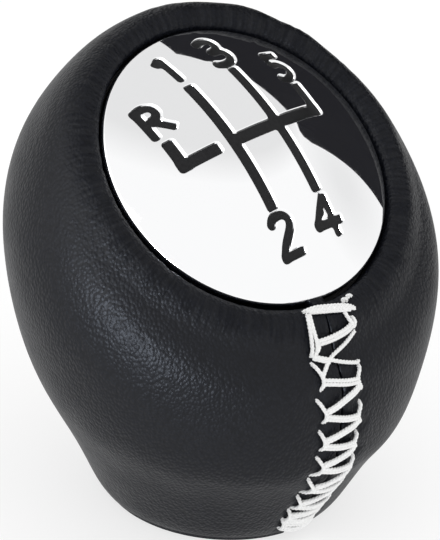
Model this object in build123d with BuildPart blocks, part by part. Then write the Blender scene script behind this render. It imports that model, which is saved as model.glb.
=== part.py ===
from build123d import *
from itertools import pairwise
from math import cos, hypot, radians, sin, sqrt
import os

# A gear shift knob: a moulded core wrapped in laced leather, with a domed cap that shows the shift gate.
# Sizes are in mm. +Z runs up the lever, the origin is where the lever's axis meets the base,
# and the driver sits towards -Y.

# Pattern cap
cap_radius = 18.0
cap_tilt = 37.0
cap_turn = 6.9
cap_forward = 0.4
dome_radius = 33.3
cap_wall = 1.6
cap_edge = 1.3
cap_edge_chamfer = 0.3
skirt_inset = 1.6
skirt_depth = 3.4
peg_count = 3
peg_radius = 1.4
peg_length = 5.0
peg_chamfer = 0.4

# Shift gate engraved in the cap
gate_spacing = 6.8
gate_bar = 1.85
gate_top = 9.75
gate_bottom = -6.65
gate_side_top = 5.25
reverse_top = 4.65
reverse_gap = 2.6
groove_width = 1.35
groove_depth = 0.5

# Rings of the wrapped body, from the base up: each one's rise above the ring below, its radius,
# its setback from the lever's axis and its share of the cap's tilt
base_radius = 13.1
rim_rise = 1.0
rim_radius = 14.4
heel_rise = 3.0
heel_radius = 16.2
waist_rise = 4.0
waist_radius = 18.3
flare_rise = 7.0
flare_radius = 22.4
flare_setback = 1.5
flare_share = 0.22
belly_rise = 8.8
belly_radius = 25.4
belly_setback = 2.8
belly_share = 0.46
shoulder_rise = 9.5
shoulder_radius = 26.5
shoulder_setback = 2.1
shoulder_share = 0.74
brow_rise = 5.0
brow_radius = 25.0
brow_setback = 0.5
brow_share = 0.89
cap_rise = 4.2
lip_width = 4.3
lip_drop = 0.9
crest_width = 2.4
crest_rise = 0.3
well_chamfer = 0.6

# Leather and seam
leather = 1.2
core_flats = 24
glue_gap = 0.1
seam_gap = 0.9
lace_rows = 10
lace_reach = 3.2
lace_top = 0.4
lace_bottom = 1.4
hole_reach = 4.2
catch_reach = 2.9
lace_radius = 0.38
stitch_radius = 0.32
thread_sides = 6
thread_gap = 0.12

# Lever bush
lever_radius = 6.0
lever_depth = 24.0
bush_wall = 2.2
bush_end = 2.0
bush_ribs = 4
rib_width = 2.0
rib_height = 0.8
flange_radius = 9.6
flange_thickness = 2.0
mouth_chamfer = 0.8
hub_wall = 1.3
base_lift = 0.3

# Clearances
cap_gap = 0.2
seat_gap = 0.05
peg_gap = 0.08
bush_gap = 0.06


def leaning_plane(setback, height, lean):
    toward = radians(lean)
    return Plane(origin=(0, setback, height), x_dir=(1, 0, 0), z_dir=(0, -sin(toward), cos(toward)))


# Heights and planes that follow from the sizes above
heel_height = rim_rise + heel_rise
waist_height = heel_height + waist_rise
flare_height = waist_height + flare_rise
belly_height = flare_height + belly_rise
shoulder_height = belly_height + shoulder_rise
brow_height = shoulder_height + brow_rise
cap_height = brow_height + cap_rise

cap_plane = leaning_plane(-cap_forward, cap_height, cap_tilt)
cap_axis = Axis(cap_plane.origin, cap_plane.z_dir)
cap_section = Plane(origin=cap_plane.origin, x_dir=cap_plane.x_dir, z_dir=-cap_plane.y_dir)
gate_plane = cap_plane.rotated((0, 0, cap_turn))
seat_plane = cap_plane.offset(-skirt_depth - seat_gap)

body_rings = [
    (leaning_plane(0, heel_height, 0), heel_radius),
    (leaning_plane(0, waist_height, 0), waist_radius),
    (leaning_plane(flare_setback, flare_height, flare_share * cap_tilt), flare_radius),
    (leaning_plane(belly_setback, belly_height, belly_share * cap_tilt), belly_radius),
    (leaning_plane(shoulder_setback, shoulder_height, shoulder_share * cap_tilt), shoulder_radius),
    (leaning_plane(brow_setback, brow_height, brow_share * cap_tilt), brow_radius),
    (cap_plane.offset(-lip_drop), cap_radius + lip_width),
]

well_radius = cap_radius + cap_gap
tuck_radius = well_radius + leather
seat_radius = tuck_radius + glue_gap
hub_radius = flange_radius + bush_gap + hub_wall
bush_radius = lever_radius + bush_wall
bush_length = lever_depth + bush_end
skirt_radius = cap_radius - skirt_inset
peg_circle = skirt_radius - cap_wall / 2
dome_rise = dome_radius - sqrt(dome_radius**2 - cap_radius**2)
dome_centre = cap_plane.origin + cap_plane.z_dir * (dome_rise - dome_radius)
reach = 2 * (cap_height + shoulder_radius)


def on_crest(edge):
    lift = cap_plane.to_local_coords(edge.center()).Z
    return abs(lift - crest_rise) < seat_gap


# The plain body as it is wrapped: a smooth skin through every ring, closed by the crest of the lip
with BuildPart() as wrapped_body:
    with BuildSketch(Plane.XY):
        Circle(base_radius)
    with BuildSketch(Plane.XY.offset(rim_rise)):
        Circle(rim_radius)
    for plane, radius in body_rings:
        with BuildSketch(plane):
            Circle(radius)
    with BuildSketch(cap_plane.offset(crest_rise)):
        Circle(cap_radius + crest_width)
    loft()
skin = wrapped_body.faces().sort_by(SortBy.AREA)[-1]

# The room inside the leather, which stops at the tuck round the cap
with BuildPart() as leather_room:
    with BuildSketch(Plane.XY.offset(leather)):
        RegularPolygon(base_radius - leather / 2, core_flats)
    for plane, radius in body_rings:
        with BuildSketch(plane):
            RegularPolygon(radius - leather, core_flats)
    loft(ruled=True)
    with BuildSketch(seat_plane):
        Circle(tuck_radius)
    extrude(amount=reach, mode=Mode.SUBTRACT)

# Leather: the wrapped body less that room, the cap's well, the open base and the slit down the front
with BuildPart() as leather_cover:
    add(wrapped_body.part)
    add(leather_room.part, mode=Mode.SUBTRACT)
    with BuildSketch(seat_plane):
        Circle(well_radius)
    extrude(amount=reach, mode=Mode.SUBTRACT)
    brim = leather_cover.edges().filter_by(GeomType.CIRCLE).filter_by(on_crest)
    chamfer(brim.sort_by(SortBy.RADIUS)[0], well_chamfer)
    with BuildSketch(Plane.XY):
        Circle(hub_radius + glue_gap)
    extrude(amount=leather, mode=Mode.SUBTRACT)
    with Locations((0, -reach / 2, 0)):
        Box(seam_gap, reach, reach, mode=Mode.SUBTRACT)
leather_cover.part.label = "leather_cover"

# Moulded core, with the hub that fills the open base, the cap's seat and the bush's keyed bore
with BuildPart() as knob_core:
    with BuildSketch(Plane.XY.offset(leather + glue_gap)):
        RegularPolygon(base_radius - leather / 2 - glue_gap, core_flats)
    for plane, radius in body_rings:
        with BuildSketch(plane):
            RegularPolygon(radius - leather - glue_gap, core_flats)
    loft(ruled=True)
    with BuildSketch(Plane.XY.offset(base_lift)):
        Circle(hub_radius)
    extrude(amount=2 * leather)
    with BuildSketch(seat_plane):
        Circle(seat_radius)
    extrude(amount=reach, mode=Mode.SUBTRACT)
    with BuildSketch(gate_plane):
        with PolarLocations(peg_circle, peg_count, start_angle=90):
            Circle(peg_radius + peg_gap)
    extrude(amount=-skirt_depth - peg_length - peg_gap, mode=Mode.SUBTRACT)
    with BuildSketch(Plane.XY.offset(base_lift)):
        Circle(bush_radius + bush_gap)
        with PolarLocations(bush_radius, bush_ribs):
            Rectangle(2 * rib_height + 2 * bush_gap, rib_width + 2 * bush_gap)
    extrude(amount=bush_length + bush_gap, mode=Mode.SUBTRACT)
    with BuildSketch(Plane.XY.offset(base_lift)):
        Circle(flange_radius + bush_gap)
    extrude(amount=flange_thickness + bush_gap, mode=Mode.SUBTRACT)
knob_core.part.label = "knob_core"

# Lever bush: a flanged sleeve with ribs that keep it from turning, open at the base
with BuildPart() as lever_bush:
    with BuildSketch(Plane.XY.offset(base_lift)):
        Circle(flange_radius)
    extrude(amount=flange_thickness)
    with BuildSketch(Plane.XY.offset(base_lift)):
        Circle(bush_radius)
        with PolarLocations(bush_radius, bush_ribs):
            Rectangle(2 * rib_height, rib_width)
    extrude(amount=bush_length)
    with BuildSketch(Plane.XY.offset(base_lift)):
        Circle(lever_radius)
    extrude(amount=lever_depth, mode=Mode.SUBTRACT)
    mouth = lever_bush.edges().filter_by(GeomType.CIRCLE).group_by(Axis.Z)[0].sort_by(SortBy.RADIUS)[0]
    chamfer(mouth, mouth_chamfer)
lever_bush.part.label = "lever_bush"

# Runs of the shift gate on the cap's face, each from one end to the other
first_column = -gate_spacing / 2
last_column = 3 * gate_spacing / 2
reverse_column = first_column - gate_spacing
gate_runs = [
    ((first_column, gate_bottom), (first_column, gate_top)),
    ((-first_column, gate_bottom), (-first_column, gate_top)),
    ((first_column, gate_bar), (last_column, gate_bar)),
    ((last_column, gate_bar), (last_column, gate_side_top)),
    ((reverse_column, reverse_top), (reverse_column, gate_bar)),
    ((reverse_column, gate_bar), (first_column - reverse_gap, gate_bar)),
]

# The grooves end at an even depth under the dome
with BuildPart() as gate_cutter:
    with BuildSketch(gate_plane):
        for start, end in gate_runs:
            run = Vector(*end) - Vector(*start)
            turn = Vector(1, 0).get_signed_angle(run)
            with Locations(Location(((start[0] + end[0]) / 2, (start[1] + end[1]) / 2, 0), (0, 0, turn))):
                SlotCenterToCenter(hypot(run.X, run.Y), groove_width)
    extrude(amount=2 * dome_rise)
    with Locations(dome_centre):
        Sphere(dome_radius - groove_depth, mode=Mode.SUBTRACT)

# Pattern cap: a thin dome with an upright edge, a skirt that stands on the core, and push-in pegs
with BuildPart() as pattern_cap:
    with BuildSketch(cap_section):
        with BuildLine():
            dome = RadiusArc((0, dome_rise), (cap_radius, 0), dome_radius)
            Polyline(
                dome @ 1,
                (cap_radius, -cap_edge),
                (skirt_radius, -cap_edge),
                (skirt_radius, -skirt_depth),
                (skirt_radius - cap_wall, -skirt_depth),
                (skirt_radius - cap_wall, -cap_edge),
                (0, dome_rise - cap_wall - cap_edge),
                dome @ 0,
            )
        make_face()
    revolve(axis=cap_axis)
    rounds = pattern_cap.edges().filter_by(GeomType.CIRCLE)
    chamfer(rounds.filter_by(lambda edge: abs(edge.radius - cap_radius) < seat_gap), cap_edge_chamfer)
    add(gate_cutter.part, mode=Mode.SUBTRACT)
    with BuildSketch(gate_plane.offset(-cap_edge)):
        with PolarLocations(peg_circle, peg_count, start_angle=90):
            Circle(peg_radius)
    extrude(amount=cap_edge - skirt_depth - peg_length)
    chamfer(pattern_cap.faces().group_by(cap_axis)[0].edges(), peg_chamfer)
pattern_cap.part.label = "pattern_cap"


def on_skin(across, height, proud):
    # The point that stands proud of the leather's front at one height.
    hits = skin.find_intersection_points(Axis((across, -reach, height), (0, 1, 0)))
    spot, normal = min(hits, key=lambda hit: hit[0].Y)
    return spot + normal * proud


# Rows of the lacing, evenly spaced down the front from under the lip to the base
lip_front = cap_height - (cap_radius + lip_width) * sin(radians(cap_tilt)) - lip_drop * cos(radians(cap_tilt))
lace_first = lip_front + lace_top
lace_pitch = (lace_first - lace_bottom) / (lace_rows - 1)
row_heights = [lace_first - lace_pitch * row for row in range(lace_rows)]
stitch_proud = stitch_radius + thread_gap
lace_proud = 2 * stitch_radius + lace_radius + 2 * thread_gap

# Lacing: straight across at each row, then slanting down to the next
lace_points = []
for height in row_heights:
    lace_points.append(on_skin(-lace_reach, height, lace_proud))
    lace_points.append(on_skin(lace_reach, height, lace_proud))

with BuildPart() as lacing_thread:
    for start, end in pairwise(lace_points):
        along = (end - start).normalized()
        with BuildSketch(Plane(origin=start - along * lace_radius / 2, z_dir=along)):
            RegularPolygon(lace_radius, thread_sides)
        extrude(amount=(end - start).length + lace_radius)
lacing_thread.part.label = "lacing_thread"

# Edge stitches: a thread along each leather edge, drawn in towards the seam where the lacing catches it
edge_threads = []
for name, side in (("left_edge_stitches", -1), ("right_edge_stitches", 1)):
    stitch_points = []
    for height in row_heights:
        stitch_points.append(on_skin(side * catch_reach, height, stitch_proud))
        if height > row_heights[-1]:
            stitch_points.append(on_skin(side * hole_reach, height - lace_pitch / 2, stitch_proud))
    with BuildPart() as edge_stitches:
        for start, end in pairwise(stitch_points):
            along = (end - start).normalized()
            with BuildSketch(Plane(origin=start - along * stitch_radius / 2, z_dir=along)):
                RegularPolygon(stitch_radius, thread_sides)
            extrude(amount=(end - start).length + stitch_radius)
    edge_stitches.part.label = name
    edge_threads.append(edge_stitches.part)

os.makedirs("parts", exist_ok=True)
for piece in (leather_cover, knob_core, lever_bush, pattern_cap, lacing_thread):
    export_step(piece.part, f"parts/{piece.part.label}.step")
for thread in edge_threads:
    export_step(thread, f"parts/{thread.label}.step")
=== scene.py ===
import math

import bmesh
import bpy
import numpy as np
from mathutils import Matrix, Vector
from mathutils.bvhtree import BVHTree
from mathutils.geometry import delaunay_2d_cdt


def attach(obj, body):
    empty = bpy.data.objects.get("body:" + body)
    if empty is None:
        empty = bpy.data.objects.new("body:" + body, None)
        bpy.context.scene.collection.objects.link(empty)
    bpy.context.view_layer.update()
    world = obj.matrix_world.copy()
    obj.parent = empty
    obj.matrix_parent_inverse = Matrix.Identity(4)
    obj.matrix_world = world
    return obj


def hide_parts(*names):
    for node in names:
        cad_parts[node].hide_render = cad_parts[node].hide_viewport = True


mm = 0.001
outside = 60 * mm               # rays that look for the skin start this far out
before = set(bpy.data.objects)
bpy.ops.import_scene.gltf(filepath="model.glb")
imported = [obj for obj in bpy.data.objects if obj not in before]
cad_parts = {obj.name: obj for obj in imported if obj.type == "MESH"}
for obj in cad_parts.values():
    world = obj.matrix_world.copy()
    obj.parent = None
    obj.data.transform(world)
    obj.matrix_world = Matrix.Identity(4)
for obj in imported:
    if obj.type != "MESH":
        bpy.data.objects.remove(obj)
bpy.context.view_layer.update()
print("frame loaded, nodes:", ", ".join(sorted(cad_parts)))

# where the round cap sits: every ring of the leather leans towards this plane
capSeat = {
    "centre": Vector((0, -0.4, 42.5)) * mm,
    "tilt": math.radians(37),
    "turn": math.radians(6.9),      # the gate is set a little askew
    "radius": 18.0 * mm,
    "domeRadius": 33.3 * mm,
}
capPlace = Matrix.Translation(capSeat["centre"]) @ Matrix.Rotation(capSeat["tilt"], 4, "X")
gatePlace = capPlace @ Matrix.Rotation(capSeat["turn"], 4, "Z")
domeRise = capSeat["domeRadius"] - math.sqrt(capSeat["domeRadius"] ** 2 - capSeat["radius"] ** 2)
domeBase = domeRise - capSeat["domeRadius"]


def newObject(name, bm, *materials):
    mesh = bpy.data.meshes.new(name)
    bm.to_mesh(mesh)
    bm.free()
    made = bpy.data.objects.new(name, mesh)
    bpy.context.scene.collection.objects.link(made)
    for material in materials:
        mesh.materials.append(material)
    return made


def newPiece(name, bm, materials, replaced):
    piece = newObject(name, bm, *materials)
    faces = piece.data.polygons
    faces.foreach_set("use_smooth", [True] * len(faces))
    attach(piece, "root")
    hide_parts(*replaced)
    return piece


def smoothStep(low, high, value):
    share = np.clip((value - low) / (high - low), 0, 1)
    return share * share * (3 - 2 * share)


# small helpers for node trees
def startMaterial(name, sockets):
    # sockets hold what is the same all over the surface
    material = bpy.data.materials.new(name)
    material.use_nodes = True
    tree = material.node_tree
    shader = tree.nodes["Principled BSDF"]
    for socket, value in sockets.items():
        shader.inputs[socket].default_value = value
    return material, tree, shader


def addNode(tree, kind, **settings):
    node = tree.nodes.new("ShaderNode" + kind)
    for key, value in settings.items():
        if key in node.inputs:
            node.inputs[key].default_value = value
        else:
            setattr(node, key, value)
    return node


def noiseNode(tree, vector, noise):
    scale, detail, roughness = noise
    node = addNode(tree, "TexNoise", Scale=scale, Detail=detail, Roughness=roughness)
    tree.links.new(vector, node.inputs["Vector"])
    return node.outputs["Fac"]


def rampNode(tree, value, stops):
    # each stop is its place and a colour, or a number for a grey
    node = tree.nodes.new("ShaderNodeValToRGB")
    tree.links.new(value, node.inputs["Fac"])
    for element, (place, tone) in zip(node.color_ramp.elements, stops):
        element.position = place
        element.color = (*tone, 1) if isinstance(tone, tuple) else (tone, tone, tone, 1)
    return node.outputs["Color"]


def bumpNode(tree, height, bump, under=None):
    strength, depth = bump
    node = addNode(tree, "Bump", Strength=strength, Distance=depth)
    tree.links.new(height, node.inputs["Height"])
    if under:
        tree.links.new(under, node.inputs["Normal"])
    return node.outputs["Normal"]


# noises hold scale, detail and roughness, bumps strength and depth
leatherLook = {
    # the hollows of the grain are coloured darker than the ridges: painted shade in the hollows
    "tones": [(0.15, (0.0060, 0.0070, 0.0110)), (0.75, (0.0036, 0.0042, 0.0066))],     # ridges, hollows
    "heights": [(0.1, 1), (0.8, 0)],
    "roughness": [(0.3, 0.4), (0.7, 0.48)],
    "shine": [(0.3, 0.2), (0.62, 0.11)],    # less in the pleats
    "grainScale": 2800,                     # cells per metre
    "grainSoftness": 0.4,
    "grainStretch": (1.0, 1.0, 0.75),       # cells are a little taller than wide
    "grainBump": (0.8, 0.085 * mm),
    "warpScale": 700,
    "warpShare": 0.0002,
    "lumps": (260, 3.0, 0.5),
    "lumpBump": (0.25, 0.15 * mm),
    "pleats": (22, 2.0, 0.6),
    "pleatStretch": (1.0, 0.1, 1.0),
    "pleatBump": (1.0, 0.07 * mm),
}


def makeLeatherMaterial():
    material, tree, shader = startMaterial("charcoalLeather", {})
    place = tree.nodes.new("ShaderNodeTexCoord").outputs["Object"]
    warp = addNode(tree, "TexNoise", Scale=leatherLook["warpScale"], Detail=2.0)
    tree.links.new(place, warp.inputs["Vector"])
    mix = addNode(tree, "Mix", data_type="VECTOR", Factor=leatherLook["warpShare"])
    tree.links.new(place, mix.inputs[4])
    tree.links.new(warp.outputs["Color"], mix.inputs[5])
    upright = addNode(tree, "Mapping", Scale=leatherLook["grainStretch"])
    tree.links.new(mix.outputs[1], upright.inputs["Vector"])
    grain = addNode(tree, "TexVoronoi", Scale=leatherLook["grainScale"], feature="SMOOTH_F1",
                    Smoothness=leatherLook["grainSoftness"])
    tree.links.new(upright.outputs["Vector"], grain.inputs["Vector"])
    cells = grain.outputs["Distance"]
    # the grain's low hollows take the darker tone: painted shade
    tree.links.new(rampNode(tree, cells, leatherLook["tones"]), shader.inputs["Base Color"])
    coarse = noiseNode(tree, place, leatherLook["lumps"])
    lumps = bumpNode(tree, coarse, leatherLook["lumpBump"])
    pebbles = bumpNode(tree, rampNode(tree, cells, leatherLook["heights"]), leatherLook["grainBump"], lumps)
    # fine pleats run down from the lip, where the leather is gathered
    sewn = addNode(tree, "UVMap", uv_map="wrap")
    squeeze = addNode(tree, "Mapping", Scale=leatherLook["pleatStretch"])
    tree.links.new(sewn.outputs["UV"], squeeze.inputs["Vector"])
    fold = noiseNode(tree, squeeze.outputs["Vector"], leatherLook["pleats"])
    mask = addNode(tree, "Attribute", attribute_name="gathered")
    folded = addNode(tree, "Math", operation="MULTIPLY")
    tree.links.new(fold, folded.inputs[0])
    tree.links.new(mask.outputs["Fac"], folded.inputs[1])
    pleated = folded.outputs["Value"]
    tree.links.new(bumpNode(tree, pleated, leatherLook["pleatBump"], pebbles), shader.inputs["Normal"])
    tree.links.new(rampNode(tree, coarse, leatherLook["roughness"]), shader.inputs["Roughness"])
    tree.links.new(rampNode(tree, pleated, leatherLook["shine"]), shader.inputs["Specular IOR Level"])
    return material


chromeLook = {
    "haze": (900, 4.0, 0.5),
    "roughness": [(0.35, 0.02), (0.75, 0.05)],
    "ripples": (170, 1.0, 0.5),
    "rippleBump": (0.02, 0.1 * mm),
    "sockets": {"Base Color": (0.955, 0.958, 0.965, 1), "Metallic": 1.0},
}


def makeChromeMaterial():
    material, tree, shader = startMaterial("brightChrome", chromeLook["sockets"])
    place = tree.nodes.new("ShaderNodeTexCoord").outputs["Object"]
    haze = noiseNode(tree, place, chromeLook["haze"])
    tree.links.new(rampNode(tree, haze, chromeLook["roughness"]), shader.inputs["Roughness"])
    ripples = noiseNode(tree, place, chromeLook["ripples"])
    tree.links.new(bumpNode(tree, ripples, chromeLook["rippleBump"]), shader.inputs["Normal"])
    return material


threadLook = {
    "grain": (5200, 3.0, 0.7),
    "tones": [(0.3, (0.84, 0.84, 0.84)), (0.6, (0.96, 0.96, 0.95))],
    "bump": (0.5, 0.04 * mm),
    "sockets": {"Roughness": 0.75, "Specular IOR Level": 0.3, "Sheen Weight": 0.2},
}
paintLook = {
    "grain": (2600, 3.0, 0.5),
    "tones": [(0.3, (0.006, 0.006, 0.007)), (0.7, (0.012, 0.012, 0.013))],
    "bump": (0.3, 0.02 * mm),
    "sockets": {"Roughness": 0.42, "Specular IOR Level": 0.2},
}
coreLook = {
    "grain": (3000, 3.0, 0.5),
    "tones": [(0.3, (0.012, 0.012, 0.012)), (0.7, (0.022, 0.022, 0.023))],
    "roughness": [(0.3, 0.45), (0.7, 0.6)],
    "bump": (0.25, 0.03 * mm),
    "sockets": {},
}
bushLook = dict(coreLook, tones=[(0.3, (0.055, 0.056, 0.058)), (0.7, (0.085, 0.086, 0.09))])


def makeGrainedMaterial(name, look):
    # one fine grain sets the tone and the bump, and the gloss of a moulding
    material, tree, shader = startMaterial(name, look["sockets"])
    place = tree.nodes.new("ShaderNodeTexCoord").outputs["Object"]
    grain = noiseNode(tree, place, look["grain"])
    tree.links.new(rampNode(tree, grain, look["tones"]), shader.inputs["Base Color"])
    if "roughness" in look:
        tree.links.new(rampNode(tree, grain, look["roughness"]), shader.inputs["Roughness"])
    tree.links.new(bumpNode(tree, grain, look["bump"]), shader.inputs["Normal"])
    return material


leatherMaterial = makeLeatherMaterial()
threadMaterial = makeGrainedMaterial("whiteThread", threadLook)
chromeMaterial = makeChromeMaterial()
paintMaterial = makeGrainedMaterial("blackGatePaint", paintLook)
coreMaterial = makeGrainedMaterial("blackMoulding", coreLook)
bushMaterial = makeGrainedMaterial("greyMoulding", bushLook)
for node, material in (("knob_core", coreMaterial), ("lever_bush", bushMaterial)):
    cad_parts[node].data.materials.clear()
    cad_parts[node].data.materials.append(material)
print("materials ready")

# leather: one flat sheet, wrapped round the frame's skin from one seam edge to the other
leather = {
    "halfColumns": 132,         # from a seam edge to the middle of the back
    "sideRows": 122,
    "lipRows": 30,
    "baseRows": 9,
    "thickness": 0.9 * mm,
    "seamGap": 0.22 * mm,
    "edgeRoll": 0.5 * mm,
    "rollSteps": 7,
    "slitDepth": 1.1 * mm,
    "seamClear": 0.6 * mm,      # points nearer the seam are found beside it
    "nearSeam": (3 * mm, 9 * mm),   # where columns change from even widths to even turns
    "columnPower": 1.25,        # columns widen towards the back
    "meanRadius": 22.0 * mm,
    "underLip": -1.5 * mm,      # where the side ends and the lip's roll begins, off the cap's plane
    "lipCrest": (20.4 * mm, 0.45 * mm),
    "lipHandles": (0.28, 0.25),     # how far the roll keeps its way below, and lies level at the crest
    "lipFall": (1.1 * mm, 0.1 * mm, 0.3 * mm),
    "lipInner": (18.45 * mm, -0.8 * mm),
    "tuck": (18.35 * mm, -3.2 * mm),
    "snug": 0.3 * mm,           # the lip lies closer to the cap on its left
    "snugBearing": math.radians(245),
    "snugWidth": math.radians(42),
    "baseInner": 11.3 * mm,
    "baseRoll": 0.9 * mm,
    "baseShare": 0.9,           # of the roll's width, and the power of its fall
    "basePower": 1.5,
    "leanPower": 1.4,
    "evenPasses": 3,
    "evenShare": 0.6,
    "evenMargin": 8,            # columns by the seam that keep their place
    "uvUnit": 10 * mm,
    "backSpot": Vector((0, 27, 35)) * mm,
}
pleats = {
    "seed": 7,
    "count": 64,
    "depth": (0.03 * mm, 0.1 * mm),
    "width": (0.3 * mm, 0.6 * mm),
    "length": (2.0 * mm, 6.0 * mm),
    # the marked creases: degrees round from the seam, depth, width and length in mm
    "marked": [(145, 0.5, 0.45, 1.6), (137, 0.2, 0.4, 3.0), (169.7, 0.3, 0.6, 3.0), (205, 0.2, 0.5, 4.0),
               (300, 0.15, 0.5, 2.5)],
    "bulges": [(130.5, 0.25, 2.2), (150, 0.3, 3.0), (203, -0.5, 6.5), (95, 0.2, 5.0)],
    "circle": 21 * mm,          # radius at which widths round the lip are measured
    "drift": 0.12,              # how far a crease strays sideways as it runs down
    "ridge": (0.35, 2.5),       # the swelling beside a crease: its share of the depth and its spread
    "innerFade": (1.5 * mm, 3.0 * mm),
    "bulgeReach": (1.5 * mm, 3 * mm),
    "gathering": (-5.5 * mm, -1.0 * mm),
}
stitching = {
    # where the lacing is caught at each edge and where the edge yarn goes through the leather
    # above and below, as across and height in mm
    "leftCatch": [(-2.8, 24.5), (-2.65, 20.4), (-2.5, 16.6), (-2.1, 13.2),
                  (-1.9, 9.6), (-1.9, 6.4), (-2.15, 4.0), (-2.2, 2.5)],
    "leftAbove": [(-3.4, 26.5), (-3.7, 22.75), (-3.1, 18.6), (-3.0, 15.05),
                  (-3.2, 11.75), (-2.65, 8.2), (-2.55, 5.5), (-2.6, 3.8)],
    "leftBelow": [(-3.2, 23.2), (-2.75, 19.15), (-2.7, 15.55), (-3.1, 11.85),
                  (-2.6, 8.45), (-2.45, 5.5), (-2.5, 3.2), (-2.4, 1.8)],
    "rightCatch": [(1.9, 23.6), (1.95, 19.3), (1.8, 15.8), (2.0, 12.6),
                   (2.2, 9.3), (2.1, 6.0), (1.7, 3.8), (1.6, 2.4)],
    "rightAbove": [(2.85, 25.3), (2.55, 21.1), (2.4, 17.1), (2.4, 14.0),
                   (2.55, 10.8), (2.5, 7.5), (2.2, 4.9), (2.0, 3.4)],
    "rightBelow": [(2.95, 21.9), (3.05, 17.6), (2.85, 14.4), (2.9, 11.3),
                   (2.9, 8.3), (2.55, 5.2), (2.2, 3.1), (2.0, 1.8)],
    "pucker": 0.22 * mm,
    "puckerRadius": 0.7 * mm,
}
skinTree = BVHTree.FromObject(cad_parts["leather_cover"], bpy.context.evaluated_depsgraph_get())


def seamColumns():
    # how far each column lies from the seam along the skin, and how far it drops into the slit
    gap, roll = leather["seamGap"] / 2, leather["edgeRoll"]
    bend = np.linspace(0, math.pi / 2, leather["rollSteps"])
    across = gap + roll * (1 - np.cos(bend))
    drop = roll * (1 - np.sin(bend))
    share = np.linspace(0, 1, leather["halfColumns"])[1:]
    start = across[-1]
    spread = start + (math.pi * leather["meanRadius"] - start) * share ** leather["columnPower"]
    across = np.concatenate([[gap], across, spread])
    drop = np.concatenate([[leather["slitDepth"]], drop, np.zeros(len(share))])
    return across, drop


def skinPoint(centre, lean, across, drop):
    # the frame's skin, seen from outside along the ring's own plane
    clear = max(across, leather["seamClear"])
    turn = clear / leather["meanRadius"]
    aside = Vector((1, 0, 0))
    back = Vector((0, math.cos(lean), math.sin(lean)))
    for _ in range(3):
        ray = aside * math.sin(turn) - back * math.cos(turn)
        spot = skinTree.ray_cast(centre + ray * outside, -ray)[0]
        near = 1 - float(smoothStep(*leather["nearSeam"], np.array(clear)))
        radius = (spot - centre).length
        wanted = clear * (near / radius + (1 - near) / leather["meanRadius"])
        if abs(wanted - turn) < 1e-4:
            break
        turn = wanted
    if across < clear:
        spot = spot + aside * (across - clear)
    return spot - ray * drop


def wrapRows():
    across, drop = seamColumns()
    top = capPlace @ Vector((0, 0, leather["underLip"]))
    rows = []
    shares = np.linspace(leather["baseRoll"] / top.z, 1, leather["sideRows"])
    for share in shares:
        centre = top * share
        lean = capSeat["tilt"] * share ** leather["leanPower"]
        right = np.array([skinPoint(centre, lean, a, d) for a, d in zip(across, drop)])
        rows.append(np.concatenate([right, right[-2::-1] * [-1, 1, 1]]))
    return np.array(rows), across, drop


def polarRow(spots, place, radius, height, drop):
    # the row's own bearing about an axis, set at another radius and height
    local = np.array([place.inverted() @ Vector(p) for p in spots])
    bearing = local[:, :2] / np.linalg.norm(local[:, :2], axis=1)[:, None]
    flat = np.column_stack([bearing * (radius - drop)[:, None], height])
    return np.array([place @ Vector(p) for p in flat])


def bezier(points, share):
    a, b, c, d = (np.array(p) for p in points)
    t = share[:, None]
    return a * (1 - t) ** 3 + 3 * b * t * (1 - t) ** 2 + 3 * c * t * t * (1 - t) + d * t ** 3


def addLip(side, drop):
    # roll the sheet over the lip and tuck it down beside the cap
    last, before = side[-1], side[-4]
    inverse = capPlace.inverted()
    ring = np.array([inverse @ Vector(p) for p in last])
    lower = np.array([inverse @ Vector(p) for p in before])
    radius = np.linalg.norm(ring[:, :2], axis=1) + drop
    start = np.column_stack([radius, ring[:, 2]])
    onward = start - np.column_stack([np.linalg.norm(lower[:, :2], axis=1) + drop, lower[:, 2]])
    onward /= np.linalg.norm(onward, axis=1)[:, None]
    rows = []
    crest, inner, tuck = leather["lipCrest"], leather["lipInner"], leather["tuck"]
    reach = np.linalg.norm(start - crest, axis=1)[:, None]
    shares = np.linspace(0, 1, leather["lipRows"] // 2 + 1)
    ahead, level = leather["lipHandles"]
    for t in shares[1:]:                                    # goes on the way that the side comes up
        spot = (start * (1 - t) ** 3 + 3 * (start + onward * reach * ahead) * t * (1 - t) ** 2
                + 3 * (crest + reach * (level, 0)) * t * t * (1 - t) + np.array(crest) * t ** 3)
        rows.append((spot[:, 0], spot[:, 1]))
    inward, aside, down = leather["lipFall"]
    bend = [crest, (crest[0] - inward, crest[1]), (inner[0] + aside, crest[1] - down), inner]
    fall = bezier(bend, shares)[1:]
    bearing = np.arctan2(ring[:, 0], -ring[:, 1])
    off = np.angle(np.exp(1j * (bearing - leather["snugBearing"])))
    snug = leather["snug"] * np.exp(-(off / leather["snugWidth"]) ** 2)
    for r, h in fall:
        rows.append((r - snug * (crest[0] - r) / (crest[0] - inner[0]), np.full(len(last), h)))
    rows.append((tuck[0] - snug, np.full(len(last), tuck[1])))
    return np.array([polarRow(last, capPlace, r, h, drop) for r, h in rows])


def addBase(side, drop):
    # roll the sheet under the base, as far as the core's hub
    first = side[0]
    radius = np.linalg.norm(first[:, :2], axis=1) + drop
    height = first[:, 2]
    upright = Matrix.Identity(4)
    rows = []
    for turn in np.linspace(0, math.pi / 2, leather["baseRows"])[1:]:
        inward = radius - leather["baseRoll"] * math.sin(turn) * leather["baseShare"]
        lowered = height * math.cos(turn) ** leather["basePower"]
        rows.append(polarRow(first, upright, inward, lowered, drop))
    hub = np.full(len(first), leather["baseInner"])
    flat = np.zeros(len(first))
    rows.append(polarRow(first, upright, hub, flat, flat))
    return np.array(rows[::-1])


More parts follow.
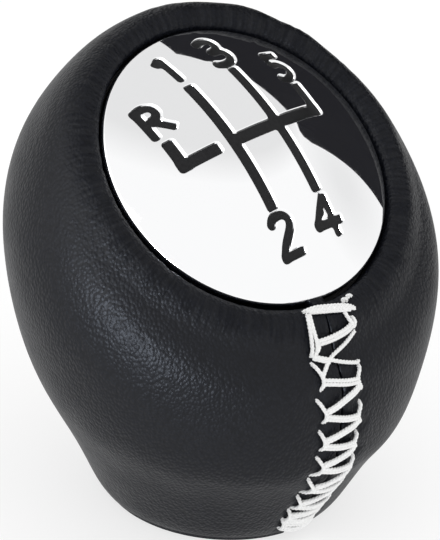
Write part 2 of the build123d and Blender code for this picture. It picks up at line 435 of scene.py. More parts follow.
def pressPleats(rows, normal, lipStart):
    # creases across the lip, deepest at its inner edge and fading down the side
    local = np.array([capPlace.inverted() @ Vector(p) for p in rows.reshape(-1, 3)]).reshape(rows.shape)
    bearing = np.arctan2(local[..., 0], -local[..., 1])
    span = np.zeros(rows.shape[:2])
    steps = np.linalg.norm(np.diff(rows, axis=0), axis=2)
    span[1:] = np.cumsum(steps, axis=0)
    crestRow = lipStart + leather["lipRows"] // 2
    fromCrest = span - span[crestRow]
    draw = np.random.default_rng(pleats["seed"])
    creases = [(math.radians(a), d * mm, w * mm, s * mm) for a, d, w, s in pleats["marked"]]
    for _ in range(pleats["count"]):
        creases.append((draw.uniform(-math.pi, math.pi), draw.uniform(*pleats["depth"]),
                        draw.uniform(*pleats["width"]), draw.uniform(*pleats["length"])))
    push = np.zeros(rows.shape[:2])
    for angle, depth, width, length in creases:
        off = np.angle(np.exp(1j * (bearing - angle))) * pleats["circle"]
        off = off + pleats["drift"] * fromCrest * math.sin(angle * 37)
        fade = smoothStep(-length, -0.2 * length, fromCrest)
        fade = fade * (1 - smoothStep(*pleats["innerFade"], fromCrest))
        share, spread = pleats["ridge"]
        push -= depth * fade * (np.exp(-(off / width) ** 2) - share * np.exp(-(off / (spread * width)) ** 2))
    for angle, rise, width in pleats["bulges"]:
        off = np.angle(np.exp(1j * (bearing - math.radians(angle)))) * pleats["circle"]
        middle, spread = pleats["bulgeReach"]
        fade = np.exp(-((fromCrest + middle) / spread) ** 2)
        push += rise * mm * fade * np.exp(-(off / (width * mm)) ** 2)
    gathered = smoothStep(*pleats["gathering"], fromCrest)
    return rows + normal * push[..., None], gathered


def rowNormals(rows):
    around = np.gradient(rows, axis=1)
    along = np.gradient(rows, axis=0)
    normal = np.cross(around, along)
    return normal / np.maximum(np.linalg.norm(normal, axis=2), 1e-12)[..., None]


def puckerHoles(rows, normal):
    # the leather is drawn in round each needle hole
    holes = []
    for key in ("leftAbove", "leftBelow", "rightAbove", "rightBelow"):
        holes += stitching[key]
    push = np.zeros(rows.shape[:2])
    front = rows[..., 1] < 0
    for x, z in holes:
        gap = np.hypot(rows[..., 0] - x * mm, rows[..., 2] - z * mm)
        push -= stitching["pucker"] * np.exp(-(gap / stitching["puckerRadius"]) ** 2) * front
    return rows + normal * push[..., None]


def wrapLeather():
    side, across, drop = wrapRows()
    dropRow = np.concatenate([drop, drop[-2::-1]])
    edge, share = leather["evenMargin"], leather["evenShare"]
    for _ in range(leather["evenPasses"]):                  # takes out the frame's facets
        above, below = side[2:, edge:-edge], side[:-2, edge:-edge]
        before, after = side[1:-1, edge - 1:-edge - 1], side[1:-1, edge + 1:1 - edge]
        near = (below + above + before + after) / 4
        side[1:-1, edge:-edge] = side[1:-1, edge:-edge] * (1 - share) + near * share
    base = addBase(side, dropRow)
    lip = addLip(side, dropRow)
    rows = np.concatenate([base, side, lip])
    normal = rowNormals(rows)
    rows, gathered = pressPleats(rows, normal, len(base) + len(side))
    rows = puckerHoles(rows, normal)
    count, columns = rows.shape[:2]
    bm = bmesh.new()
    bmesh.ops.create_grid(bm, x_segments=columns - 1, y_segments=count - 1, size=1)
    wrapUv = bm.loops.layers.uv.new("wrap")
    pleated = bm.verts.layers.float.new("gathered")
    lengths = np.zeros(rows.shape[:2])
    lengths[1:] = np.cumsum(np.linalg.norm(np.diff(rows, axis=0), axis=2), axis=0)
    reach = np.concatenate([across, 2 * math.pi * leather["meanRadius"] - across[-2::-1]])
    for vert in bm.verts:
        column = round((vert.co.x + 1) / 2 * (columns - 1))
        row = round((vert.co.y + 1) / 2 * (count - 1))
        vert.co = rows[row, column]
        vert[pleated] = gathered[row, column]
        for loop in vert.link_loops:
            loop[wrapUv].uv = (reach[column] / leather["uvUnit"], lengths[row, column] / leather["uvUnit"])
    bm.normal_update()
    middle = min(bm.faces, key=lambda face: (face.calc_center_median() - leather["backSpot"]).length)
    if middle.normal.y < 0:
        bmesh.ops.reverse_faces(bm, faces=bm.faces[:])
    piece = newPiece("leatherWrap", bm, [leatherMaterial], ["leather_cover"])
    wall = piece.modifiers.new("wall", "SOLIDIFY")
    wall.thickness = leather["thickness"]
    wall.offset = -1
    return piece


leatherPiece = wrapLeather()
print("leather wrapped:", len(leatherPiece.data.polygons), "faces")

# pattern cap: domed plate with engraved strokes, rounded edge, skirt and push-in pegs
capShape = {
    "edgeRound": 0.6 * mm,
    "edgeBevel": 0.3 * mm,
    "edge": 1.3 * mm,
    "wall": 1.6 * mm,
    "skirtInset": 1.6 * mm,
    "skirtDepth": 3.4 * mm,
    "pegRadius": 1.4 * mm,
    "pegLength": 5.0 * mm,
    "pegTaper": 0.75,
    "pegSides": 28,
    "roofRings": (0.66, 0.33, 0.04),
    "sharpAngle": math.radians(40),
    "edgeSteps": 9,
    "rimPoints": 180,
    "meshStep": 0.62 * mm,
    "meshRows": 0.866,          # height of a row of the mesh, as a share of its step
    "rimMargin": 0.3,           # bare strips by the rim and the strokes, in steps
    "strokeMargin": 0.4,
    "outlineStep": 0.24 * mm,
    "traceStep": 0.13 * mm,
}
engraving = {
    "depth": 0.38 * mm,
    "shoulder": 0.22 * mm,      # the plate starts to dip this far outside a stroke
    "foot": 0.10 * mm,          # and is flat again this far inside it
    "levels": [0.22, 0.16, 0.10, 0.05, 0.0, -0.05, -0.10],     # traced lines, mm outside the edge
    "gateWidth": 1.35 * mm,
    "endRound": 0.3 * mm,
    "digitWidth": 0.94 * mm,
    "blend": 0.3 * mm,          # how far strokes run into each other where they meet
    "spacing": 6.8 * mm,
    "bar": 1.85 * mm,
    "top": 9.75 * mm,
    "bottom": -6.65 * mm,
    "sideTop": 5.25 * mm,
    "reverseTop": 4.65 * mm,
    "reverseGap": 2.6 * mm,
}


def arc(x, y, radius, start, end, steps=12):
    turns = np.radians(np.linspace(start, end, steps))
    return [(x + radius * math.cos(t), y + radius * math.sin(t)) for t in turns]


# strokes of each sign on the cap's face, in mm: two points make a flat-ended bar, more make a bend
signs = {
    "1": [[(-4.55, 14.55), (-3.2, 15.3)], [(-3.42, 15.5), (-3.42, 11.3)]],
    "2": [[(-4.5, -8.75), (-4.15, -8.2), (-3.45, -7.98), (-2.6, -8.1), (-2.05, -8.75), (-2.15, -9.6),
           (-2.8, -10.4), (-3.6, -11.3), (-4.05, -12.1), (-4.2, -12.6)],
          [(-4.65, -12.65), (-1.5, -12.62)]],
    "3": [[(2.3, 15.2), (3.1, 15.5), (4.0, 15.3), (4.5, 14.6), (4.3, 13.8), (3.6, 13.4), (2.95, 13.4)],
          [(3.5, 13.4), (4.5, 13.1), (4.85, 12.3), (4.5, 11.5), (3.7, 11.2), (2.8, 11.2), (2.1, 11.5)]],
    "4": [[(3.85, -7.8), (4.05, -12.75)], [(3.6, -8.2), (2.5, -9.55), (1.5, -11.0)],
          [(1.1, -11.05), (5.35, -11.05)]],
    "5": [[(11.3, 10.5), (8.8, 10.65)], [(9.3, 10.9), (9.25, 9.0)],
          [(9.3, 9.15), (10.1, 9.15), (10.8, 8.75), (11.2, 8.1), (11.1, 7.4), (10.4, 6.8), (9.5, 6.65),
           (8.9, 7.0)]],
    "R": [[(-10.85, 10.6), (-10.85, 6.05)],
          [(-10.8, 10.1), (-10.3, 10.4), (-9.5, 10.35), (-8.85, 9.85), (-8.8, 9.0), (-9.4, 8.4),
           (-10.6, 8.35)],
          [(-10.2, 8.6), (-8.05, 6.4)]],
}


def gateBars():
    # each bar of the gate as its two ends
    step, half = engraving["spacing"], engraving["gateWidth"] / 2
    first, last, reverse, bar = -step / 2, 1.5 * step, -1.5 * step, engraving["bar"]
    low, high = engraving["bottom"] - half, engraving["top"] + half
    return [
        ((first, low), (first, high)),
        ((-first, low), (-first, high)),
        ((first, bar), (last + half, bar)),
        ((last, bar - half), (last, engraving["sideTop"] + half)),
        ((reverse, bar - half), (reverse, engraving["reverseTop"] + half)),
        ((reverse - half, bar), (first - engraving["reverseGap"] + half, bar)),
    ]


def rounded(stroke):
    # cuts the corners of a bent stroke
    line = np.array(stroke)
    for _ in range(3 if len(line) > 2 else 0):
        cuts = np.stack([line[:-1] * 0.75 + line[1:] * 0.25, line[:-1] * 0.25 + line[1:] * 0.75], axis=1)
        line = np.vstack([line[:1], cuts.reshape(-1, 2), line[-1:]])
    return line * mm


# strokes that run into each other are kept together, with their width
strokeGroups = [(engraving["gateWidth"], [np.array(run) for run in gateBars()])]
for strokes in signs.values():
    strokeGroups.append((engraving["digitWidth"], [rounded(stroke) for stroke in strokes]))


def barDistance(points, ends, width):
    run = ends[1] - ends[0]
    length = np.hypot(*run)
    rel = points - ends.mean(axis=0)
    local = np.abs(np.column_stack([rel @ run, rel @ [-run[1], run[0]]]) / length)
    corner = engraving["endRound"]
    over = local - np.array([length, width]) / 2 + corner
    return np.linalg.norm(np.maximum(over, 0), axis=1) + np.minimum(over.max(axis=1), 0) - corner


def bendDistance(points, line, width):
    near = np.full(len(points), 1.0)
    for a, b in zip(line, line[1:]):
        run = b - a
        share = np.clip((points - a) @ run / (run @ run), 0, 1)
        near = np.minimum(near, np.linalg.norm(points - a - share[:, None] * run, axis=1))
    return near - width / 2


def strokeDistance(points):
    # distance from the nearest stroke's edge, less than nought inside it
    best = np.full(len(points), 1.0)
    for width, strokes in strokeGroups:
        group = np.full(len(points), 1.0)
        for stroke in strokes:
            measure = barDistance if len(stroke) == 2 else bendDistance
            group = meltedLeast(group, measure(points, stroke, width))
        best = np.minimum(best, group)
    return best


def meltedLeast(a, b):
    # the lesser of two distances, rounded where they are alike
    share = np.maximum(engraving["blend"] - np.abs(a - b), 0) / engraving["blend"]
    return np.minimum(a, b) - share * share * engraving["blend"] / 4


def strokeSlope(points):
    nudge = 0.01 * mm
    across = strokeDistance(points + [nudge, 0]) - strokeDistance(points - [nudge, 0])
    upward = strokeDistance(points + [0, nudge]) - strokeDistance(points - [0, nudge])
    return np.column_stack([across, upward]) / (2 * nudge)


def strokeLoops(level, ticks, field):
    # closed lines at one distance from the strokes, traced through a square field of distances
    inside = field < level
    mixed = inside[:-1, :-1].astype(int) + inside[1:, :-1] + inside[:-1, 1:] + inside[1:, 1:]
    links = {}
    for j, i in zip(*np.nonzero((mixed > 0) & (mixed < 4))):
        corners = [(j, i), (j, i + 1), (j + 1, i + 1), (j + 1, i)]
        crossed = [(a, b) if a < b else (b, a) for a, b in zip(corners, corners[1:] + corners[:1])
                   if inside[a] != inside[b]]
        for a, b in zip(crossed[::2], crossed[1::2]):
            links.setdefault(a, []).append(b)
            links.setdefault(b, []).append(a)
    spots = {}
    for a, b in links:
        share = (level - field[a]) / (field[b] - field[a])
        spots[a, b] = [ticks[a[1]] + (ticks[b[1]] - ticks[a[1]]) * share,
                       ticks[a[0]] + (ticks[b[0]] - ticks[a[0]]) * share]
    loops = []
    while links:
        here = next(iter(links))
        loop = []
        while here in links:
            loop.append(spots[here])
            onward = links.pop(here)
            here = onward[0] if onward[0] in links else onward[1]
        loops.append(evenLoop(np.array(loop), level))
    return loops


def evenLoop(loop, level):
    closed = np.vstack([loop, loop[:1]])
    run = np.concatenate([[0], np.cumsum(np.linalg.norm(np.diff(closed, axis=0), axis=1))])
    count = max(8, round(run[-1] / capShape["outlineStep"]))
    wanted = np.arange(count) * run[-1] / count
    even = np.column_stack([np.interp(wanted, run, closed[:, k]) for k in range(2)])
    leastSlope = 0.3
    for _ in range(2):                                      # settles the points on the exact line
        slope = strokeSlope(even)
        steep = np.maximum((slope ** 2).sum(axis=1), leastSlope)[:, None]
        even -= (strokeDistance(even) - level)[:, None] * slope / steep
    return even


def domeHeight(points):
    return np.sqrt(capSeat["domeRadius"] ** 2 - (points ** 2).sum(axis=1)) + domeBase


def engravedDip(distance):
    low, high = -engraving["foot"], engraving["shoulder"]
    share = np.clip((high - distance) / (high - low), 0, 1)
    dip = -engraving["depth"] * share * share * (3 - 2 * share)
    slope = engraving["depth"] * 6 * share * (1 - share) / (high - low)
    return dip, slope


def edgeTangent():
    # where the dome meets the rounding of its edge
    ball, turn = capSeat["domeRadius"], capSeat["radius"] - capShape["edgeRound"]
    inner = ball - capShape["edgeRound"]
    height = math.sqrt(inner ** 2 - turn ** 2)
    return turn, height, turn * ball / inner, math.atan2(height, turn)


def engravedDisc(bm, paintIndex):
    rim = edgeTangent()[2]
    loops = [np.array(arc(0, 0, rim, 0, 360, capShape["rimPoints"] + 1)[:-1])]
    ticks = np.arange(-capSeat["radius"], capSeat["radius"], capShape["traceStep"])
    across, upward = np.meshgrid(ticks, ticks)
    traced = strokeDistance(np.column_stack([across.ravel(), upward.ravel()])).reshape(across.shape)
    for level in engraving["levels"]:
        loops += strokeLoops(level * mm, ticks, traced)
    step, tall = capShape["meshStep"], capShape["meshRows"]
    ticks = np.arange(-math.ceil(rim / step), math.ceil(rim / step) + 1)
    rows = np.concatenate([ticks * 2, ticks * 2 + 1])
    field = np.array([((i + 0.5 * (j % 2)) * step, j * step * tall) for j in rows for i in ticks])
    within = np.hypot(*field.T) < rim - capShape["rimMargin"] * step
    bare = strokeDistance(field) > engraving["shoulder"] + capShape["strokeMargin"] * step
    field = field[within & bare]
    points, edges = [], []
    for loop in loops:
        start = len(points)
        points += [Vector(p) for p in loop]
        edges += [(start + k, start + (k + 1) % len(loop)) for k in range(len(loop))]
    points += [Vector(p) for p in field]
    flat, _, faces = delaunay_2d_cdt(points, edges, [], 0, 1e-7, False)[:3]
    flat = np.array([tuple(p) for p in flat])
    distance = strokeDistance(flat)
    dip, slope = engravedDip(distance)
    height = domeHeight(flat) + dip
    lean = -flat / np.sqrt(capSeat["domeRadius"] ** 2 - (flat ** 2).sum(axis=1))[:, None]
    lean += strokeSlope(flat) * slope[:, None]
    normals = np.column_stack([-lean, np.ones(len(flat))])
    normals /= np.linalg.norm(normals, axis=1)[:, None]
    verts = [bm.verts.new((x, y, z)) for (x, y), z in zip(flat, height)]
    middles = strokeDistance(np.array([flat[list(face)].mean(axis=0) for face in faces]))
    for face, middle in zip(faces, middles):
        made = bm.faces.new([verts[k] for k in face])
        if middle < 0:
            made.material_index = paintIndex
    return verts, normals


def buildCap():
    bm = bmesh.new()
    verts, normals = engravedDisc(bm, 1)
    ring = [edge for edge in bm.edges if edge.is_boundary]
    turn, height, _, start = edgeTangent()
    radius, edge, bevel = capSeat["radius"], capShape["edge"], capShape["edgeBevel"]
    depth, corner = capShape["skirtDepth"], capShape["edgeRound"]
    skirt = radius - capShape["skirtInset"]
    inner = skirt - capShape["wall"]
    profile = [(turn + corner * math.cos(a), height + domeBase + corner * math.sin(a))
               for a in np.linspace(start, 0, capShape["edgeSteps"])[1:]]
    profile += [(radius, -edge + bevel), (radius - bevel, -edge), (skirt, -edge), (skirt, -depth),
                (inner, -depth), (inner, -edge)]
    roof = domeRise - capShape["wall"] - edge
    profile += [(inner * s, roof - (roof + edge) * s) for s in capShape["roofRings"]]
    for r, h in profile:
        grown = bmesh.ops.extrude_edge_only(bm, edges=ring)["geom"]
        ring = [item for item in grown if isinstance(item, bmesh.types.BMEdge) and item.is_boundary]
        for vert in {v for e in ring for v in e.verts}:
            scale = r / math.hypot(vert.co.x, vert.co.y)
            vert.co = (vert.co.x * scale, vert.co.y * scale, h)
    bmesh.ops.contextual_create(bm, geom=ring)
    bmesh.ops.recalc_face_normals(bm, faces=bm.faces[:])
    for k in range(3):
        bearing = math.radians(90 + 120 * k)
        circle = skirt - capShape["wall"] / 2
        middle = -depth - capShape["pegLength"] / 2
        place = Matrix.Translation((circle * math.cos(bearing), circle * math.sin(bearing), middle))
        bmesh.ops.create_cone(bm, cap_ends=True, segments=capShape["pegSides"], depth=capShape["pegLength"],
                              radius1=capShape["pegRadius"] * capShape["pegTaper"],
                              radius2=capShape["pegRadius"], matrix=place)
    bmesh.ops.transform(bm, matrix=gatePlace, verts=bm.verts[:])
    bm.verts.index_update()
    order = [v.index for v in verts]
    piece = newPiece("patternCap", bm, [chromeMaterial, paintMaterial], ["pattern_cap"])
    mesh = piece.data
    mesh.set_sharp_from_angle(angle=capShape["sharpAngle"])
    turned = np.zeros((len(mesh.vertices), 3))
    spin = np.array(gatePlace.to_3x3())
    turned[order] = normals @ spin.T
    corners = np.zeros(len(mesh.loops), int)
    mesh.loops.foreach_get("vertex_index", corners)
    mesh.normals_split_custom_set(turned[corners])
    return piece


capPiece = buildCap()
print("cap engraved:", len(capPiece.data.polygons), "faces")

# threads: twisted yarn laid on the leather
threadSize = {
    "lace": 0.25 * mm,          # radius of one yarn, laced double
    "apart": 0.19,              # how far each of the two lies from their middle, mm
    "stitch": 0.25 * mm,
    "plies": 3,
    "twist": 1.3 * mm,          # length of one turn
    "step": 0.13 * mm,
    "plyRing": 0.52,            # where each ply's middle lies, as a share of the yarn's radius
    "plyRadius": 0.5,
    "phaseStep": 0.7,           # each yarn starts its twist a little further on
    "outward": (0, -1, 0.2),
    "overLip": 29.9 * mm,
    "lipSlant": 0.66,
    "lipFront": -16.4 * mm,
    "seamClear": 1.1 * mm,      # points nearer the seam are found beside it
    "leftKnot": (3.3, -16.0, 31.2),
    "rightKnot": (4.2, -15.7, 31.3),
    "knotSize": 0.26,
    "knotYarn": 0.8,
    "sides": 2,                 # bevel resolution of a ply
}
outerTree = BVHTree.FromObject(leatherPiece, bpy.context.evaluated_depsgraph_get())


def onLeather(x, z, lift):
    # the leather's front at a height, or from above where the yarn goes over the lip
    clear = math.copysign(max(abs(x), threadSize["seamClear"]), x)
    slant = threadSize["lipSlant"] if z > threadSize["overLip"] else 0.0
    way = Vector((0, math.sqrt(1 - slant * slant), -slant))
    target = Vector((clear, threadSize["lipFront"], z))
    spot, normal, _, _ = outerTree.ray_cast(target - way * outside, way)
    if normal.dot(way) > 0:
        normal = -normal
    spot = spot + normal * lift
    spot.x += x - clear
    return spot


def curveMesh(curve):
    # the curve's shape as a mesh, with the curve itself cleared away
    holder = bpy.data.objects.new(curve.name, curve)
    bpy.context.scene.collection.objects.link(holder)
    bpy.context.view_layer.update()
    mesh = bpy.data.meshes.new_from_object(holder.evaluated_get(bpy.context.evaluated_depsgraph_get()))
    bpy.data.objects.remove(holder)
    bpy.data.curves.remove(curve)
    return mesh


def smoothPath(points):
    # reads a smooth line back from a curve through the given points
    curve = bpy.data.curves.new("path", "CURVE")
    curve.dimensions = "3D"
    curve.resolution_u = 10
    spline = curve.splines.new("NURBS")
    spline.points.add(len(points) - 1)
    for point, spot in zip(spline.points, points):
        point.co = (*spot, 1)
    spline.use_endpoint_u = True
    spline.order_u = 3
    mesh = curveMesh(curve)
    line = np.array([tuple(v.co) for v in mesh.vertices])
    bpy.data.meshes.remove(mesh)
    return line


def evenLine(line, step):
    gaps = np.linalg.norm(np.diff(line, axis=0), axis=1)
    run = np.concatenate([[0], np.cumsum(gaps)])
    count = max(8, math.ceil(run[-1] / step))
    wanted = np.linspace(0, run[-1], count)
    return np.column_stack([np.interp(wanted, run, line[:, k]) for k in range(3)]), wanted


def twistYarn(curve, points, radius, phase):
    line, run = evenLine(smoothPath(points), threadSize["step"])
    ahead = np.gradient(line, axis=0)
    ahead /= np.linalg.norm(ahead, axis=1)[:, None]
    aside = np.cross(ahead, threadSize["outward"])
    aside /= np.linalg.norm(aside, axis=1)[:, None]
    upward = np.cross(aside, ahead)
    plies = threadSize["plies"]
    for ply in range(plies):
        turn = 2 * math.pi * (run / threadSize["twist"] + ply / plies) + phase
        swirl = np.cos(turn)[:, None] * aside + np.sin(turn)[:, None] * upward
        ring = radius * threadSize["plyRing"] * swirl
        spline = curve.splines.new("POLY")
        spline.points.add(len(line) - 1)
        spline.points.foreach_set("co", np.column_stack([line + ring, np.ones(len(line))]).ravel())


def sewThread(name, runs, replaced):
    # runs hold a yarn's radius and the points it passes, as across, height and lift in mm, or in space
    parts = {}
    for k, (radius, points) in enumerate(runs):
        if radius not in parts:
            parts[radius] = bpy.data.curves.new(name, "CURVE")
        spots = points
        if not isinstance(points[0], Vector):
            spots = [onLeather(x * mm, z * mm, lift * mm + radius) for x, z, lift in points]
        twistYarn(parts[radius], spots, radius, threadSize["phaseStep"] * k)
    bm = bmesh.new()
    for radius, curve in parts.items():
        curve.dimensions = "3D"
        curve.bevel_depth = radius * threadSize["plyRadius"]
        curve.bevel_resolution = threadSize["sides"]
        curve.use_fill_caps = True
        mesh = curveMesh(curve)
        bm.from_mesh(mesh)
        bpy.data.meshes.remove(mesh)
    bmesh.ops.recalc_face_normals(bm, faces=bm.faces[:])
    return newPiece(name, bm, [threadMaterial], replaced)


def knotPath(place, size):
    # a small three-lobed knot about a spot in mm
    swing, depth, steps = 0.45, 0.5, 19
    turns = np.linspace(0, 2 * math.pi, steps)
    reach = 1.0 + swing * np.cos(3 * turns)
    spots = np.column_stack([reach * np.cos(2 * turns), depth * np.sin(3 * turns), reach * np.sin(2 * turns)])
    return [Vector(place) * mm + Vector(spot) * size * mm for spot in spots]


def doubled(points):
    # two yarns side by side
    runs = []
    for side in (-threadSize["apart"], threadSize["apart"]):
        runs.append((threadSize["lace"], [(x, z + side, lift) for x, z, lift in points]))
    return runs


def lacingRuns():
    single = threadSize["lace"]
    runs = [
        (single, [(-2.7, 31.65, -0.2), (-1.5, 31.6, 0.2), (0.3, 31.2, 0.35), (2.2, 30.75, 0.35),
                  (3.5, 30.3, 0.2), (4.0, 30.05, -0.2)]),
        (single, [(-2.5, 31.4, 0.0), (-1.6, 31.3, 0.25), (0.3, 30.85, 0.4), (2.2, 30.4, 0.4),
                  (3.5, 30.05, 0.2), (3.9, 29.95, 0.0)]),
        (single, [(-2.2, 31.2, 0.0), (0.3, 30.5, 0.25), (2.2, 30.05, 0.25), (3.2, 29.95, 0.1)]),
        (single, [(3.1, 28.4, 0.1), (2.2, 27.95, 0.3), (1.1, 27.4, 0.4), (-0.1, 26.9, 0.4),
                  (-1.05, 26.5, 0.3), (-1.75, 26.0, 0.25), (-2.3, 25.4, 0.2)]),
        (single, [(-1.3, 26.3, 0.2), (-0.3, 25.9, 0.4), (1.2, 25.5, 0.4), (2.2, 25.3, 0.3),
                  (2.9, 25.3, -0.2)]),
    ]
    runs += doubled([(-2.4, 28.3, 0.1), (-1.5, 28.3, 0.3), (0.5, 28.5, 0.4), (2.1, 28.85, 0.4),
                     (2.9, 29.1, 0.1)])
    lefts, rights = stitching["leftCatch"], stitching["rightCatch"]
    for k, ((x, z), (u, w)) in enumerate(zip(lefts, rights)):
        middle = ((x + u) / 2, (z + w) / 2 - 0.12)
        runs += doubled([(x - 0.1, z - 0.05, 0.1), (x + 0.8, z - 0.2, 0.35), (*middle, 0.45),
                         (u - 0.7, w + 0.1, 0.35), (u + 0.15, w + 0.05, 0.1)])
        if k + 1 < len(lefts):
            x, z = lefts[k + 1]
            middle = ((x + u) / 2, (z + w) / 2 + 0.1)
            runs += doubled([(u + 0.15, w - 0.5, 0.1), (u - 0.5, w - 0.85, 0.4), (*middle, 0.5),
                             (x + 0.8, z + 0.95, 0.4), (x + 0.05, z + 0.6, 0.1)])
    return runs


def edgeRuns(side):
    stitch = threadSize["stitch"]
    runs = [(stitch * threadSize["knotYarn"], knotPath(threadSize[side + "Knot"], threadSize["knotSize"]))]
    for (x, z), (a, b), (c, d) in zip(*(stitching[side + part] for part in ("Catch", "Above", "Below"))):
        runs.append((stitch, [(a, b, -0.7), (a * 0.75 + x * 0.25, b * 0.75 + z * 0.25, 0.0),
                              ((x + a) / 2, (z + b) / 2 + 0.1, 0.15), (x, z + 0.5, 0.2), (x, z - 0.15, 0.2),
                              ((x + c) / 2, (z + d) / 2, 0.05), (c, d, -0.7)]))
    if side == "left":
        runs += [
            (stitch, [(-2.6, 31.0, 0.1), (-2.85, 30.0, 0.15), (-3.0, 29.2, 0.15), (-3.1, 28.2, 0.2),
                      (-3.15, 27.6, 0.2), (-3.3, 27.1, 0.0)]),
            (stitch, [(-2.3, 30.9, 0.1), (-2.6, 29.9, 0.2), (-2.45, 28.8, 0.25), (-2.45, 27.8, 0.25),
                      (-2.7, 27.1, 0.1)]),
            (stitch, [(-2.4, 28.4, 0.1), (-2.2, 28.0, 0.3), (-2.5, 27.5, 0.3), (-3.0, 26.9, 0.1)]),
            (stitch, [(-3.3, 27.1, -0.3), (-3.05, 27.0, 0.1), (-2.6, 26.8, 0.3), (-1.9, 26.5, 0.35),
                      (-1.2, 26.25, 0.3)]),
            (stitch, [(-3.1, 26.75, 0.0), (-2.5, 26.5, 0.25), (-1.9, 26.2, 0.3), (-1.3, 26.05, 0.25)]),
            (stitch, [(-1.3, 26.35, 0.3), (-1.95, 25.85, 0.3), (-2.5, 25.3, 0.25), (-2.85, 24.8, 0.15)]),
        ]
    else:
        runs += [
            (stitch, [(2.2, 30.1, 0.1), (2.5, 29.75, 0.25), (2.85, 29.4, 0.25), (2.95, 29.05, 0.2),
                      (2.85, 28.8, 0.1)]),
            (stitch, [(3.3, 29.85, -0.3), (3.35, 29.55, 0.15), (3.3, 29.1, 0.2), (3.0, 28.75, 0.1)]),
        ]
    return runs


laceThread = sewThread("laceThread", lacingRuns(), ["lacing_thread"])
leftThread = sewThread("leftEdgeThread", edgeRuns("left"), ["left_edge_stitches"])
rightThread = sewThread("rightEdgeThread", edgeRuns("right"), ["right_edge_stitches"])
print("threads sewn:", sum(len(p.data.polygons) for p in (laceThread, leftThread, rightThread)), "faces")

# studio: white floor, soft boxes, and screens that only reflections see
studio = {
    "skyTone": 0.95,
    "floorSize": 6.0,
    "floorSockets": {"Base Color": (0.34, 0.34, 0.34, 1), "Roughness": 0.9, "Specular IOR Level": 0.1,
                     "Emission Color": (1, 1, 1, 1), "Emission Strength": 0.7},
    "screenDistance": 1.3,
}
# grey rounds that whiten to their edge: place off the cap, lean, radius, tone,
# and how far out the grey ends and the white begins, in metres
rounds = {
    "ceiling": (Vector((0.55, 0.35, 1.0)), 0.0, 1.15, 0.81, 0.72, 1.0),
    "sidePanel": (Vector((1.37, -0.34, 0.51)), math.radians(80), 0.75, 0.84, 0.1, 0.7),
}
# outlines of the screens as bearing from +Y towards +X and height above the horizon, in degrees
screens = {
    "darkScreen": ((0.018, 0.018, 0.021), [
        (36, -30), (36, 39), (42, 47), (53, 47), (58, 44), (62, 39), (74, 42), (90, 37), (95, 37), (97, 36),
        (98, 33), (96, 22), (90, 0), (86, -30)]),
}


def buildFloor():
    bm = bmesh.new()
    bmesh.ops.create_grid(bm, x_segments=1, y_segments=1, size=studio["floorSize"])
    material = startMaterial("floorWhite", studio["floorSockets"])[0]
    newObject("floor", bm, material)


def buildScreen(name, tone, outline):
    centre = capSeat["centre"]
    bm = bmesh.new()
    corners = []
    for bearing, height in outline:
        b, h = math.radians(bearing), math.radians(height)
        way = Vector((math.sin(b) * math.cos(h), math.cos(b) * math.cos(h), math.sin(h)))
        corners.append(bm.verts.new(centre + way * studio["screenDistance"]))
    bm.faces.new(corners)
    bmesh.ops.triangulate(bm, faces=bm.faces[:])
    sockets = {"Base Color": (*tone, 1), "Roughness": 1.0, "Specular IOR Level": 0.0}
    material = startMaterial(name, sockets)[0]
    onlyReflected(newObject(name, bm, material))


def onlyReflected(screen):
    screen.visible_camera = False
    screen.visible_diffuse = False
    screen.visible_shadow = False


def buildRound(name, away, lean, radius, tone, greyTo, whiteFrom):
    spot = capSeat["centre"] + away
    bm = bmesh.new()
    bmesh.ops.create_circle(bm, cap_ends=True, segments=64, radius=radius,
                            matrix=Matrix.Translation(spot) @ Matrix.Rotation(lean, 4, "Y"))
    sockets = {"Base Color": (0, 0, 0, 1), "Specular IOR Level": 0.0, "Emission Strength": 1.0}
    material, tree, shader = startMaterial(name, sockets)
    place = tree.nodes.new("ShaderNodeTexCoord")
    middle = addNode(tree, "Mapping", Location=-spot)
    tree.links.new(place.outputs["Object"], middle.inputs["Vector"])
    gap = addNode(tree, "VectorMath", operation="LENGTH")
    tree.links.new(middle.outputs["Vector"], gap.inputs[0])
    shade = rampNode(tree, gap.outputs["Value"], [(greyTo, tone), (whiteFrom, 1)])
    tree.links.new(shade, shader.inputs["Emission Color"])
    onlyReflected(newObject(name, bm, material))


def buildWorld():
    world = bpy.data.worlds.new("studio")
    bpy.context.scene.world = world
    world.use_nodes = True
    tree = world.node_tree
    sky = tree.nodes["Background"]
    sky.inputs["Color"].default_value = (1, 1, 1, 1)
    sky.inputs["Strength"].default_value = studio["skyTone"]
    white = addNode(tree, "Background", Color=(1, 1, 1, 1), Strength=1.0)
    rays = tree.nodes.new("ShaderNodeLightPath")
    most = addNode(tree, "Math", operation="MAXIMUM")
    tree.links.new(rays.outputs["Is Camera Ray"], most.inputs[0])
    tree.links.new(rays.outputs["Is Transmission Ray"], most.inputs[1])
    every = addNode(tree, "Math", operation="MAXIMUM")
    tree.links.new(most.outputs[0], every.inputs[0])
    tree.links.new(rays.outputs["Is Glossy Ray"], every.inputs[1])
    blend = tree.nodes.new("ShaderNodeMixShader")
    tree.links.new(every.outputs[0], blend.inputs[0])
    tree.links.new(sky.outputs[0], blend.inputs[1])
    tree.links.new(white.outputs[0], blend.inputs[2])
    tree.links.new(blend.outputs[0], tree.nodes["World Output"].inputs["Surface"])


softBoxes = {
    # place and aim in metres, width and height, power, colour
    "leftBox": ((-0.95, -0.58, 0.05), (0, 0, 0.03), (0.5, 0.09), 13.5, (0.75, 0.84, 1.0)),
    "leftGlow": ((-1.13, 0.0, 0.68), (0, 0, 0.03), (1.5, 1.5), 10.0, (1.0, 1.0, 1.0)),
}


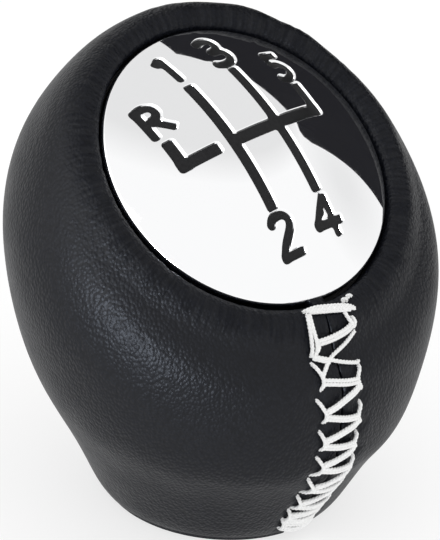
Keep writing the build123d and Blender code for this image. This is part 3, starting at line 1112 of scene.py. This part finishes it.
def buildLights():
    for name, (spot, aim, size, power, colour) in softBoxes.items():
        light = bpy.data.lights.new(name, "AREA")
        light.shape = "RECTANGLE"
        light.size, light.size_y = size
        light.energy = power
        light.color = colour
        lamp = bpy.data.objects.new(name, light)
        lamp.location = spot
        lamp.rotation_euler = (Vector(aim) - Vector(spot)).to_track_quat("-Z", "Y").to_euler()
        lamp.visible_diffuse = False        # a sheen on the leather, not more light
        bpy.context.scene.collection.objects.link(lamp)


buildFloor()
for name, settings in rounds.items():
    buildRound(name, *settings)
for name, (tone, outline) in screens.items():
    buildScreen(name, tone, outline)
buildWorld()
buildLights()
print("studio lit")

# camera: where the photograph was taken from, aimed through the middle of its picture
shot = {
    "azimuth": math.radians(-39.45),
    "elevation": math.radians(26.19),
    "roll": math.radians(-4.71),
    "distance": 480 * mm,
    "pixelsPerMetre": 8690.0,
    "pictureSize": (440, 540),
    "capInPicture": (246.0, 165.0),     # where the cap's centre falls, in pixels
    "sensor": 36.0,
}


def buildCamera():
    a, e = shot["azimuth"], shot["elevation"]
    back = Vector((math.sin(a) * math.cos(e), -math.cos(a) * math.cos(e), math.sin(e)))
    level = Vector((math.cos(a), math.sin(a), 0))
    turn = Matrix.Rotation(-shot["roll"], 3, back)
    right = turn @ level
    up = turn @ back.cross(level)
    focal = shot["pixelsPerMetre"] * shot["distance"]
    width, height = shot["pictureSize"]
    x = (width / 2 - shot["capInPicture"][0]) / focal
    y = (shot["capInPicture"][1] - height / 2) / focal
    behind = (back - right * x - up * y).normalized()
    side = (right - behind * right.dot(behind)).normalized()
    over = behind.cross(side)
    data = bpy.data.cameras.new("shot")
    data.sensor_width = shot["sensor"]
    data.lens = shot["sensor"] * focal / height
    data.clip_start = 0.05
    camera = bpy.data.objects.new("shot", data)
    eye = capSeat["centre"] + back * shot["distance"]
    axes = Matrix((side, over, behind)).transposed()
    camera.matrix_world = Matrix.Translation(eye) @ axes.to_4x4()
    bpy.context.scene.collection.objects.link(camera)
    bpy.context.scene.camera = camera


buildCamera()
bpy.context.scene.view_settings.view_transform = "Standard"
